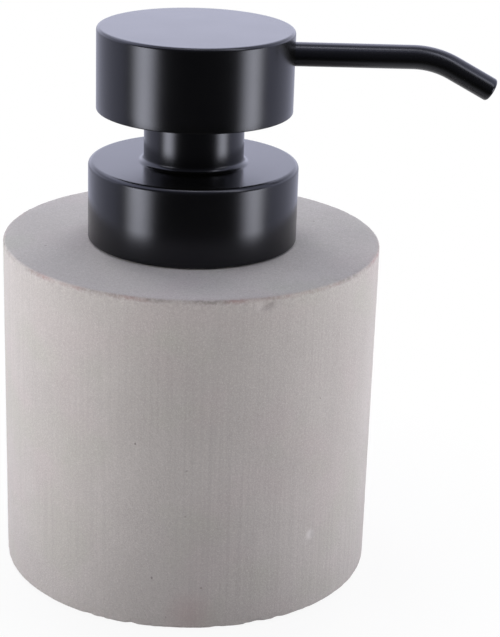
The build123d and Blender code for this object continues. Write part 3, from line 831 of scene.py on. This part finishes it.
def world():
    """White to the camera; for light and reflections, a studio that is bright behind the object."""
    studio = bpy.data.worlds.new("studio")
    scene.world = studio
    studio.use_nodes = True
    studio.node_tree.nodes.clear()
    n = Nodes(studio.node_tree)
    path = n.node("ShaderNodeLightPath").outputs
    x, y, z = n.axes(n.node("ShaderNodeTexCoord").outputs["Generated"])

    def ease(value, a, b, lo, hi):
        return n.span(value, a, b, lo, hi, "SMOOTHSTEP")

    lean = n.math("MULTIPLY_ADD", ease(z, 0.0, 1.0, 0.0, 1.0), 0.45, y)
    behind = ease(lean, -0.22, 0.06, 0.0, 1.0)
    wall = n.math("MULTIPLY", behind, ease(z, -0.12, 0.12, 0.47, 1.0))
    wall = n.math("MULTIPLY", wall, ease(z, 0.2, 0.6, 1.0, 0.5))
    wall = n.math("MULTIPLY", wall, ease(z, 0.55, 0.92, 1.0, 0.12))
    light = n.math("MULTIPLY_ADD", wall, WALL_LIGHT, ease(z, 0.3, 0.8, ROOM_LIGHT, CEILING_LIGHT))

    # The wall higher up is dimmer to the right
    upper = n.math("MULTIPLY", ease(z, 0.4, 0.65, 0.0, UPPER_WALL), ease(z, 0.75, 0.98, 1.0, 0.2))
    upper = n.math("MULTIPLY", upper, ease(x, 0.15, 0.55, 1.0, 0.4))
    extra = n.mix_value(behind, ease(z, -0.6, 0.3, 0.0, FRONT_ROOM), upper)
    lit = n.node("ShaderNodeBackground")
    lit.inputs["Color"].default_value = (0.93, 0.95, 1.17, 1)
    n.link(n.math("MULTIPLY_ADD", path["Is Glossy Ray"], extra, light), lit.inputs["Strength"])
    white = n.node("ShaderNodeBackground")
    white.inputs["Color"].default_value = (1, 1, 1, 1)
    mixed = n.node("ShaderNodeMixShader")
    n.link(n.math("MAXIMUM", path["Is Camera Ray"], path["Is Transmission Ray"]), mixed.inputs[0])
    n.link(lit.outputs[0], mixed.inputs[1])
    n.link(white.outputs[0], mixed.inputs[2])
    n.link(mixed.outputs[0], n.node("ShaderNodeOutputWorld").inputs["Surface"])


world()


def softbox(name, place, aim, size, radiance, mirrored=True, lights=True):
    """A large lamp, brightest in the middle, for reflections (mirrored), for its light, or for both."""
    data = bpy.data.lights.new(name, "AREA")
    data.shape = "RECTANGLE"
    data.size, data.size_y = size
    data.energy = radiance * math.pi * size[0] * size[1]
    data.use_nodes = True
    n = Nodes(data.node_tree)
    across = n.axes(n.node("ShaderNodeNewGeometry").outputs["Parametric"])[0]
    off = n.math("MULTIPLY", n.math("SUBTRACT", across, 0.5), 2.0)
    fade = n.math("SUBTRACT", 1.0, n.math("MULTIPLY", off, off))
    n.link(n.math("MULTIPLY", fade, fade), n.tree.nodes["Emission"].inputs["Strength"])
    lamp = bpy.data.objects.new(name, data)
    turn = (Vector(aim) - Vector(place)).to_track_quat("-Z", "Y").to_matrix().to_4x4()
    lamp.matrix_world = Matrix.Translation(place) @ turn
    lamp.visible_camera = False
    lamp.visible_glossy = mirrored
    lamp.visible_diffuse = lights
    scene.collection.objects.link(lamp)


def beside(azimuth, distance, height):
    """A place round the object; azimuth is from the camera's side, positive to the right."""
    a = math.radians(azimuth)
    return (distance * math.sin(a), -distance * math.cos(a), height)


# Places and aims of the lamps, in metres
LOW_Z = -0.15
LOW_AIM = (0, 0, LOW_Z)
BODY_AIM = (0, 0, 0.03)
SHOULDER_AIM = (0, 0, 0.07)
HEAD_AIM = (0, 0, 0.1)
TIP_AIM = (0.055, 0, 0.11)
OVERHEAD = (0.0, -0.12, 1.1)
OVER_TIP = (0.66, -0.44, 0.88)

# The two narrow highlights on the pump
softbox("softbox_left", beside(-60.0, 0.95, LOW_Z), LOW_AIM, (0.7, 0.52), 9.5)
softbox("softbox_right", beside(68.5, 0.95, LOW_Z), LOW_AIM, (0.66, 0.48), 8.3)

# The line along the spout
softbox("softbox_above", OVERHEAD, HEAD_AIM, (0.9, 0.22), 4.8, lights=False)
softbox("softbox_tip", OVER_TIP, TIP_AIM, (0.4, 0.95), 4.6, lights=False)

# The shading of the concrete
softbox("top_light", OVERHEAD, HEAD_AIM, (0.9, 0.22), 4.5, mirrored=False)
softbox("side_left", beside(-85.0, 1.0, 0.1), BODY_AIM, (0.6, 0.4), 8.4, mirrored=False)
softbox("side_left_high", beside(-70.0, 1.0, 0.35), BODY_AIM, (0.6, 0.5), 4.6, mirrored=False)
softbox("side_right", beside(85.0, 1.0, 0.1), BODY_AIM, (0.6, 0.4), 11.6, mirrored=False)
softbox("front_fill", beside(0.0, 1.0, 0.5), BODY_AIM, (0.6, 0.5), 2.5, mirrored=False)
softbox("back_left", beside(-150.0, 0.64, 0.82), SHOULDER_AIM, (0.6, 0.6), 5.2, mirrored=False)
softbox("back_right", beside(150.0, 0.64, 0.82), SHOULDER_AIM, (0.6, 0.6), 4.6, mirrored=False)


def camera():
    """The photograph's camera, from its fitted height, distance, focal length and framing."""
    frame_w, frame_h = 500.0, 637.0
    elevation = math.radians(19.674)
    distance = 414.10
    focal_px = 1922.55
    roll = math.radians(-1.205)
    axis_px = (190.923, 290.637)
    target = np.array([0.0, 0.0, 60.0 + BASE_Z])
    ce, se = math.cos(elevation), math.sin(elevation)
    place = target + distance * np.array([0.0, -ce, se])
    base = np.array([[1, 0, 0], [0, se, ce], [0, ce, -se]])
    turn = np.array(
        [[math.cos(roll), -math.sin(roll), 0], [math.sin(roll), math.cos(roll), 0], [0, 0, 1]]
    )
    look = np.array(
        [(axis_px[0] - frame_w / 2) / focal_px, -(axis_px[1] - frame_h / 2) / focal_px, 1.0]
    )
    swing = Vector((0, 0, 1)).rotation_difference(Vector(look)).to_matrix()
    axes = np.array(swing) @ turn @ base
    m = Matrix.Identity(4)
    for i in range(3):
        m[i][0] = axes[0][i]
        m[i][1] = axes[1][i]
        m[i][2] = -axes[2][i]
        m[i][3] = place[i] * MM
    data = bpy.data.cameras.new("camera")
    data.sensor_width = 36.0
    data.lens = focal_px / frame_h * data.sensor_width
    data.clip_start = 0.01
    obj = bpy.data.objects.new("camera", data)
    obj.matrix_world = m
    scene.collection.objects.link(obj)
    scene.camera = obj


camera()
